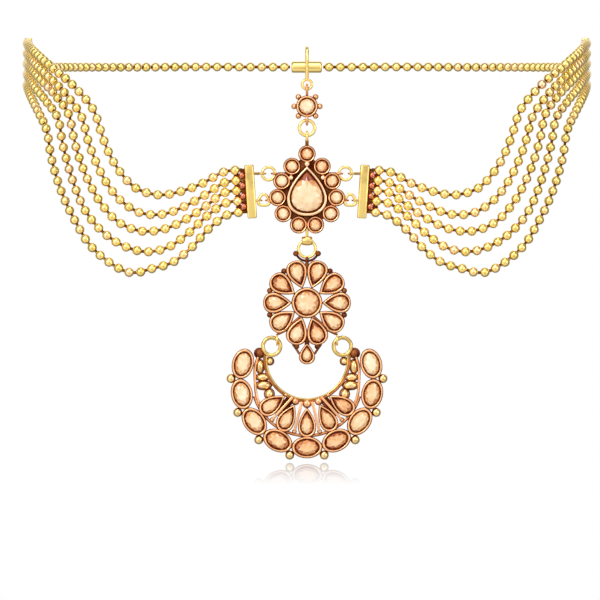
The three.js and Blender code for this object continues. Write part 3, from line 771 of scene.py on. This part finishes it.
# The granules take the palest tone: painted highlight
parts += [ball(*place, tone=0.0) for place in brooch["granules"]]
for sign in hands.values():
    for link in linkRings.values():
        parts += linkEyelet(sign, link["x"] - link["ring"], link["y"], brooch["linkStem"])
makePiece("broochSetting", parts, "antique_gold", "head_chain", ["brooch_setting"])
gold = [
    edgeOnEyelet(brooch["topEyeletY"], 0.1), uprightStem(**brooch["topStem"]),
    stripBail(brooch["bail"]), uprightStem(**brooch["bailStem"]),
]
makePiece("broochLoops", gold, "bright_gold", "head_chain")
stone = cutStone(upright(pearLine(tip, end, width, count=24)), **brooch["pearShade"])
makePiece("broochPearStone", [stone], "peach_stone", "head_chain", ["brooch_pear_stone"])
small = [moved(roundStone(brooch["stone"], **brooch["stoneCut"]), x, y) for x, y in ring]
makePiece("broochRoundStones", small, "peach_stone", "head_chain")
print("brooch made")

# Top ring, motif and hair hook
topRing = {"x": 0, "y": 16.0, "z": levels["topLink"], "ring": 1.93, "wire": 0.40}
motif = {
    "y": 21.4, "stone": 2.0, "cup": 2.75, "eyelets": (18.1, 25.6), "eyeletRecess": 0.2,
    "granule": {"z": 0.4, "radius": 0.75, "recess": 0.15}, "orbit": 3.2, "turns": np.radians([42, 90, 138]),
}
hook = {
    "eyeY": 26.9, "wire": 0.45, "step": 0.35,
    "shank": [[7.9, 0.75], [5.1, 1.2], [1.3, 1.4], [0, 0], [1.3, -1.4], [4.6, -1.5]],  # under the crest, z
}
makePiece("topRing", [wireRing(**topRing)], "bright_gold", "head_chain", ["top_ring"])
parts = [moved(roundSetting(motif), 0, motif["y"])]
parts += [edgeOnEyelet(y, motif["eyeletRecess"]) for y in motif["eyelets"]]
for a in motif["turns"]:
    x, y = motif["orbit"] * math.sin(a), motif["y"] - motif["orbit"] * math.cos(a)
    parts += [ball(sign * x, y, **motif["granule"]) for sign in hands.values()]
makePiece("topMotifSetting", parts, "antique_gold", "head_chain", ["top_motif_setting"])
stone = moved(roundStone(motif["stone"], count=16), 0, motif["y"])
makePiece("topMotifStone", [stone], "peach_stone", "head_chain", ["top_motif_stone"])
shank = smoothRoute([[0, hookCrest - under, z] for under, z in hook["shank"]], hook["step"])
acrossHook = np.array([1.0, 0, 0])
parts = [wireRing(0, hook["eyeY"], **topEyelet), wire(shank, hook["wire"], acrossHook, sides=12)]
makePiece("hairHook", parts, "bright_gold", "head_chain", ["hair_hook"])
print("top arm made")

# Flower pendant
flower = {
    "y": -27.7, "petals": 10,
    "centre": {"cup": 3.9, "stone": 3.05, "shade": {"deep": 0.05}},
    "petal": {
        "tip": 3.7, "end": 11.0, "width": 5.35, "stoneTip": 4.9, "stoneEnd": 10.35, "stoneWidth": 3.5,
        "shade": {"tipShade": 0.3, "deep": 0.17, "spread": 0.3},
    },
    "drop": {
        "tip": 10.0, "end": 15.4, "width": 4.1, "stoneTip": 10.9, "stoneEnd": 14.7, "stoneWidth": 2.5,
        "shade": {"tipShade": 0.3, "deep": 0.17}, "turn": math.radians(-90),
    },
    "stem": {"depth": 1.2, "bevel": 0.2, "recess": 0.9},
    "stems": [
        {"y": 9.6, "z": 0.3, "width": 0.9, "height": 4.0},
        {"y": -9.2, "z": 0.2, "width": 1.2, "height": 3.6},
    ],
    "bailRing": {"x": 0, "y": 13.5, "z": levels["hinge"], "ring": 2.15, "wire": 0.38, "count": 48},
    "tabX": 7.52, "tab": {"y": -9.2, "z": levels["hinge"], "ring": 1.3, "wire": 0.26, "recess": 0.1},
    "arm": {"x": 5.9, "y": -7.1, "tilt": math.radians(26)},
    "strut": {"width": 0.8, "height": 3.2, "depth": 1.0, "bevel": 0.15, "recess": 0.75},
    "granule": {"z": 0.6, "radius": 0.72, "recess": 0.8}, "orbit": 9.8, "turns": np.radians([54, 18, -18]),
    "sideGranules": [[2.8, 12.3], [2.6, -10.9]],
    "wire": 0.3, "wireStep": 0.4,
    "wires": {
        "cradle": {"path": [[0.2, 10.4], [1.6, 10.9], [3.0, 12.4]], "z": 0.1, "recess": 0.95},
        "taper": {"path": [[3.6, -10.3], [2.8, -11.4], [1.9, -12.8]], "z": 0.1, "recess": 0.75},
        "spoke": {"path": [[1.7, -3.4], [4.3, -5.7], [6.6, -7.5]], "z": 1.3, "recess": 0.75},
    },
}
centre, petal, drop, arm = (flower[key] for key in ("centre", "petal", "drop", "arm"))
petalTurns = circleSteps(flower["petals"])
spots = flower["sideGranules"] + [
    [flower["orbit"] * math.cos(a), flower["orbit"] * math.sin(a)] for a in flower["turns"]]
parts = [roundSetting(centre), moved(pearSetting(drop), turn=drop["turn"])]
parts += [moved(pearSetting(petal), turn=a) for a in petalTurns]
parts += [uprightStem(**stem, **flower["stem"]) for stem in flower["stems"]]
gold = [wireRing(**flower["bailRing"])]
for sign in hands.values():
    gold.append(wireRing(sign * flower["tabX"], **flower["tab"], facing="side", count=32, sides=10))
    strut = moved(roundedBar(**flower["strut"]), turn=math.pi / 2)
    parts.append(moved(strut, sign * arm["x"], arm["y"], levels["hinge"], -sign * arm["tilt"]))
    parts += [ball(sign * x, y, **flower["granule"]) for x, y in spots]
    for bent in flower["wires"].values():
        path = smoothRoute([[sign * x, y, bent["z"]] for x, y in bent["path"]], flower["wireStep"])
        parts.append(wire(path, flower["wire"], recess=bent["recess"]))
parts, gold = ([moved(p, y=flower["y"]) for p in group] for group in (parts, gold))
makePiece("flowerSetting", parts, "antique_gold", "flower", ["flower_setting"])
makePiece("flowerLoops", gold, "bright_gold", "flower")
stone = moved(roundStone(centre["stone"], count=20, **centre["shade"]), y=flower["y"])
makePiece("flowerCentreStone", [stone], "peach_stone", "flower", ["flower_centre_stone"])
for number, a in enumerate(petalTurns, 1):
    stone = moved(pearStone(petal), y=flower["y"], turn=a)
    makePiece(f"petalStone{number}", [stone], "peach_stone", "flower", [f"petal_stone_{number}"])
stone = moved(pearStone(drop), y=flower["y"], turn=drop["turn"])
makePiece("flowerDropStone", [stone], "peach_stone", "flower", ["flower_drop_stone"])
print("flower made")

# Crescent pendant
crescent = {
    "y": -47.25, "filigreeZ": 0.3,
    "oval": {
        "along": 7.8, "across": 5.5, "stoneAlong": 5.9, "stoneAcross": 4.0, "step": 26.25, "eachSide": 4,
    },
    "ovalReach": 16.6,
    "ovalShade": {"deep": 0.28, "lighter": 0.06, "spread": 0.24},  # lighter toward the horns
    "pear": {
        "tip": 6.5, "end": 14.2, "width": 4.6, "stoneTip": 7.7, "stoneEnd": 13.3, "stoneWidth": 3.1,
        "shade": {"tipShade": 0.3, "deep": 0.26, "spread": 0.3}, "step": 28.0, "eachSide": 2,
    },
    "outerBall": {"z": 0.4, "radius": 1.2, "recess": 0.3, "tone": 0.75}, "outerReach": 19.0,
    "rim": {"y": -41.6, "radius": 10.4, "turns": np.radians(np.linspace(174, 366, 80))},
    "rimGold": {"radius": 0.26, "sides": 10, "recess": 0.45, "tone": 0.3}, "rimGoldReach": 10.2,
    "rimCopper": {"radius": 0.3, "sides": 10, "recess": 0.6, "tone": 0.3}, "rimCopperReach": 10.7,
    "tipBall": {"overlap": 0.35, "recess": 0.1},
    "hornRing": {"y": -38.6, "z": levels["hinge"], "ring": 2.2, "wire": 0.5, "recess": 0.42, "count": 48},
    "hornRingX": 8.85,
    "hornBalls": [  # x, y, half width, half height; the first is copper
        [11.9, -40.3, 1.15, 1.15], [9.25, -42.3, 0.85, 0.85], [11.75, -43.6, 0.95, 1.7],
        [11.1, -46.3, 1.65, 0.85], [10.85, -48.3, 1.95, 1.05], [9.4, -50.5, 1.15, 1.3],
    ],
    "hornBall": {"deepest": 1.1, "copperRecess": 0.8, "goldRecess": 0.28, "tone": 0.8},
    # the backing shows as a dark outline round each horn ball: painted shade behind the balls
    "backing": {"margin": 0.28, "depth": 0.35, "recess": 0.85},
    "frameWire": {"radius": 0.36, "sides": 10, "recess": 0.05}, "frameStep": 0.5,
    "frameRoute": [[11.9, -40.3], [12.95, -43.5], [13.0, -47.2], [12.6, -51.0], [11.6, -53.6]],
    "arc": {"radius": 0.4, "recess": 0.35}, "arcReach": 13.7, "arcZ": 0.2,
    "arcTurns": np.radians(-90 + np.linspace(-74, 74, 70)),
    "gapBall": {"z": 0.5, "radius": 0.62, "recess": 0.1, "tone": 0.2}, "gapBallReach": 13.0,
    "gapBar": {"width": 0.7, "height": 7.6, "depth": 1.2, "bevel": 0.2, "recess": 0.05},
    "gapBarReach": 9.1, "gapBarZ": 0.8,
    # the wedges' fronts are darkened: oxide and painted shade in the hollows between the pears
    "wedge": {"bottom": -0.6, "top": 0.1, "recess": (0.3, 0.5, 0.95, 0.95)},
    "wedgeReach": np.array([5.6, 5.6, 11.4, 11.4]), "wedgeTurns": np.radians([-12, 12, 5, -5]),
}
oval, pear, rim, hornBall = (crescent[key] for key in ("oval", "pear", "rim", "hornBall"))
backing, tipBall, filigreeZ = crescent["backing"], crescent["tipBall"], crescent["filigreeZ"]
ovalTurns, pearTurns = (
    np.radians(-90 + row["step"] * np.arange(-row["eachSide"], row["eachSide"] + 1)) for row in (oval, pear))
betweenOvals, betweenPears = ((turns[1:] + turns[:-1]) / 2 for turns in (ovalTurns, pearTurns))


# Place at a reach and turn about the middle of the ring of ovals
def onCrescent(reach, turn):
    return reach * math.cos(turn), crescent["y"] + reach * math.sin(turn)


def onOval(piece, turn):
    return moved(piece, *onCrescent(crescent["ovalReach"], turn), turn=turn + math.pi / 2)


# Arc: a circle's points about a height on the middle line
def arcPath(reach, turns, y, z):
    return np.column_stack([reach * np.cos(turns), y + reach * np.sin(turns), np.full(len(turns), z)])


ovalRim = bezel(
    ovalLine(oval["stoneAlong"] + seat["width"], oval["stoneAcross"] + seat["width"]),
    ovalLine(oval["along"], oval["across"]), stoneRim)
parts = [onOval(ovalRim, a) for a in ovalTurns]
parts += [moved(pearSetting(pear), 0, crescent["y"], turn=a) for a in pearTurns]
gold = [ball(*onCrescent(crescent["outerReach"], a), **crescent["outerBall"]) for a in betweenOvals]
for group, key in ((gold, "rimGold"), (parts, "rimCopper")):
    path = arcPath(crescent[f"{key}Reach"], rim["turns"], rim["y"], filigreeZ)
    group.append(wire(path, **crescent[key]))
for sign in hands.values():
    gold.append(wireRing(sign * crescent["hornRingX"], **crescent["hornRing"]))
    for i, (x, y, halfWidth, halfHeight) in enumerate(crescent["hornBalls"]):
        group, recess = (gold, hornBall["goldRecess"]) if i else (parts, hornBall["copperRecess"])
        radii = (halfWidth, halfHeight, min(halfWidth, halfHeight, hornBall["deepest"]))
        group.append(ball(sign * x, y, filigreeZ, radii, recess=recess, tone=hornBall["tone"]))
    for x, y, halfWidth, halfHeight in crescent["hornBalls"]:
        radii = (halfWidth + backing["margin"], halfHeight + backing["margin"], backing["depth"])
        parts.append(ball(sign * x, y, filigreeZ - backing["depth"], radii, recess=backing["recess"]))
    path = smoothRoute([[sign * x, y, filigreeZ] for x, y in crescent["frameRoute"]], crescent["frameStep"])
    parts.append(wire(path, **crescent["frameWire"]))
path = arcPath(crescent["arcReach"], crescent["arcTurns"], crescent["y"], crescent["arcZ"])
parts.append(wire(path, **crescent["arc"]))
for a in betweenPears:
    parts.append(ball(*onCrescent(crescent["gapBallReach"], a), **crescent["gapBall"]))
    place = onCrescent(crescent["gapBarReach"], a)
    parts.append(moved(roundedBar(**crescent["gapBar"]), *place, crescent["gapBarZ"], a - math.pi / 2))
for a in betweenPears[[0, -1]]:
    reach, turns = crescent["wedgeReach"], a + crescent["wedgeTurns"]
    line = np.column_stack([reach * np.cos(turns), reach * np.sin(turns)])
    parts.append(moved(flatPlate(line, **crescent["wedge"]), 0, crescent["y"]))
for a in pearTurns:
    x, y = onCrescent(pear["tip"], a)
    tip = np.array([x, y - rim["y"]])
    gap = np.linalg.norm(tip) - rim["radius"]
    x, y = tip / np.linalg.norm(tip) * (rim["radius"] + gap / 2)
    parts.append(ball(x, y + rim["y"], filigreeZ, gap / 2 + tipBall["overlap"], recess=tipBall["recess"]))
makePiece("crescentSetting", parts, "antique_gold", "crescent", ["crescent_setting"])
makePiece("crescentGoldWork", gold, "bright_gold", "crescent")
shade = crescent["ovalShade"]
for i, a in enumerate(ovalTurns):
    line = ovalLine(oval["stoneAlong"], oval["stoneAcross"], count=16)
    deep = shade["deep"] - shade["lighter"] * abs(i - oval["eachSide"])
    stone = cutStone(line, deep=deep, spread=shade["spread"])
    makePiece(
        f"crescentOvalStone{i + 1}", [onOval(stone, a)], "peach_stone", "crescent",
        [f"crescent_oval_stone_{i + 1}"])
for number, a in enumerate(pearTurns, 1):
    stone = moved(pearStone(pear), 0, crescent["y"], turn=a)
    makePiece(
        f"crescentPearStone{number}", [stone], "peach_stone", "crescent", [f"crescent_pear_stone_{number}"])
print("crescent made")


# Stage: light, floor and camera, in metres
lamps = {
    "keyLight": {"place": (-0.45, -0.75, 0.40), "size": 0.35, "power": 3.0},
    "fillLight": {"place": (0.70, -0.60, 0.05), "size": 0.40, "power": 1.0},
    "topLight": {"place": (0.05, -0.25, 0.75), "size": 0.40, "power": 1.6},
}
lampAim = Vector((0, 0, -0.06))


def softBox(name, place, size, power):
    lamp = bpy.data.lights.new(name, "AREA")
    lamp.size, lamp.energy = size, power
    box = bpy.data.objects.new(name, lamp)
    box.location = place
    box.rotation_euler = (lampAim - Vector(place)).to_track_quat("-Z", "Y").to_euler()
    box.visible_camera = False
    bpy.context.scene.collection.objects.link(box)


for name, lamp in lamps.items():
    softBox(name, **lamp)

# World: white to the camera; to the jewel a bright front half, dark sides, a soft glow behind, and a white
# spot at the far horizon, which only the floor mirrors
studio = {
    "greys": [  # from the front to the back
        (0.0, 0.62), (0.025, 0.64), (0.07, 0.86), (0.22, 0.84), (0.38, 0.50), (0.50, 0.30), (0.66, 0.16),
        (0.80, 0.2), (0.92, 0.6), (1.0, 0.7),
    ],
    "tip": 0.28, "brightSide": (-0.5, 0, 0.85), "brightGain": 1.9, "spotStart": 0.998,
}


def studioWorld():
    world = bpy.data.worlds.new("studio")
    world.use_nodes = True
    tree = world.node_tree
    place = tree.nodes.new("ShaderNodeTexCoord")
    split = tree.nodes.new("ShaderNodeSeparateXYZ")
    tree.links.new(place.outputs["Generated"], split.inputs["Vector"])
    white = (1.0, 1.0, 1.0)
    tipped = maths(tree, "MULTIPLY", split.outputs["Z"], studio["tip"])
    tipped = maths(tree, "ADD", split.outputs["Y"], tipped)
    band = ramp(tree, ranged(tree, tipped, -1, 1), [(at, (v, v, v)) for at, v in studio["greys"]])
    upLeft = tree.nodes.new("ShaderNodeVectorMath")
    upLeft.operation = "DOT_PRODUCT"
    upLeft.inputs[1].default_value = studio["brightSide"]
    tree.links.new(place.outputs["Generated"], upLeft.inputs[0])
    bright = tree.nodes.new("ShaderNodeVectorMath")
    bright.operation = "SCALE"
    tree.links.new(band, bright.inputs[0])
    gain = ranged(tree, upLeft.outputs["Value"], -1, 1, 1.0, studio["brightGain"])
    tree.links.new(gain, bright.inputs["Scale"])
    spot = maths(tree, "GREATER_THAN", split.outputs["Y"], studio["spotStart"])
    band = mixed(tree, spot, bright.outputs["Vector"], white)
    rays = tree.nodes.new("ShaderNodeLightPath")
    colour = mixed(tree, rays.outputs["Is Camera Ray"], band, white)
    tree.links.new(colour, tree.nodes["Background"].inputs["Color"])
    bpy.context.scene.world = world


# Floor: white, with a faint mirror at grazing angles that starts under the crescent and fades toward the
# viewer
floorSize = {"reach": 2.5, "height": -0.1033}
floorMirror = {"fadeFrom": -0.50, "fadeTo": 0.02, "most": 0.64, "grazing": 1.05}


def paleFloor():
    corners = np.array([[-1, -1], [1, -1], [1, 1], [-1, 1]]) * floorSize["reach"]
    verts = np.column_stack([corners, np.full(len(corners), floorSize["height"])])
    mesh = bpy.data.meshes.new("floor")
    mesh.from_pydata(verts.tolist(), [], [(0, 1, 2, 3)])
    look = bpy.data.materials.new("paleFloor")
    look.use_nodes = True
    tree = look.node_tree
    tree.nodes.remove(tree.nodes["Principled BSDF"])
    place = tree.nodes.new("ShaderNodeTexCoord")
    split = tree.nodes.new("ShaderNodeSeparateXYZ")
    kinds = ("Emission", "BsdfGlossy", "MixShader")
    glow, sheen, mix = (tree.nodes.new(f"ShaderNode{kind}") for kind in kinds)
    glow.inputs["Color"].default_value = (1, 1, 1, 1)
    sheen.inputs["Color"].default_value = (1, 1, 1, 1)
    sheen.inputs["Roughness"].default_value = 0.0
    tree.links.new(place.outputs["Object"], split.inputs["Vector"])
    grazing = tree.nodes.new("ShaderNodeFresnel")
    grazing.inputs["IOR"].default_value = floorMirror["grazing"]
    faded = ranged(
        tree, split.outputs["Y"], floorMirror["fadeFrom"], floorMirror["fadeTo"], 0.0, floorMirror["most"])
    tree.links.new(maths(tree, "MULTIPLY", faded, grazing.outputs["Fac"]), mix.inputs["Fac"])
    tree.links.new(glow.outputs[0], mix.inputs[1])
    tree.links.new(sheen.outputs[0], mix.inputs[2])
    tree.links.new(mix.outputs[0], tree.nodes["Material Output"].inputs["Surface"])
    mesh.materials.append(look)
    floor = bpy.data.objects.new("floor", mesh)
    floor.visible_glossy = False
    floor.visible_diffuse = False
    bpy.context.scene.collection.objects.link(floor)


studioWorld()
paleFloor()
view = {"place": (-0.00175, -4.0, -0.063), "sensor": 36, "focal": 960, "far": 20}
lens = bpy.data.cameras.new("camera")
lens.sensor_width, lens.lens, lens.clip_end = view["sensor"], view["focal"], view["far"]
camera = bpy.data.objects.new("camera", lens)
camera.location = view["place"]
camera.rotation_euler = (math.pi / 2, 0, 0)
bpy.context.scene.collection.objects.link(camera)
bpy.context.scene.camera = camera
bpy.context.scene.view_settings.view_transform = "Standard"

print("stage made")
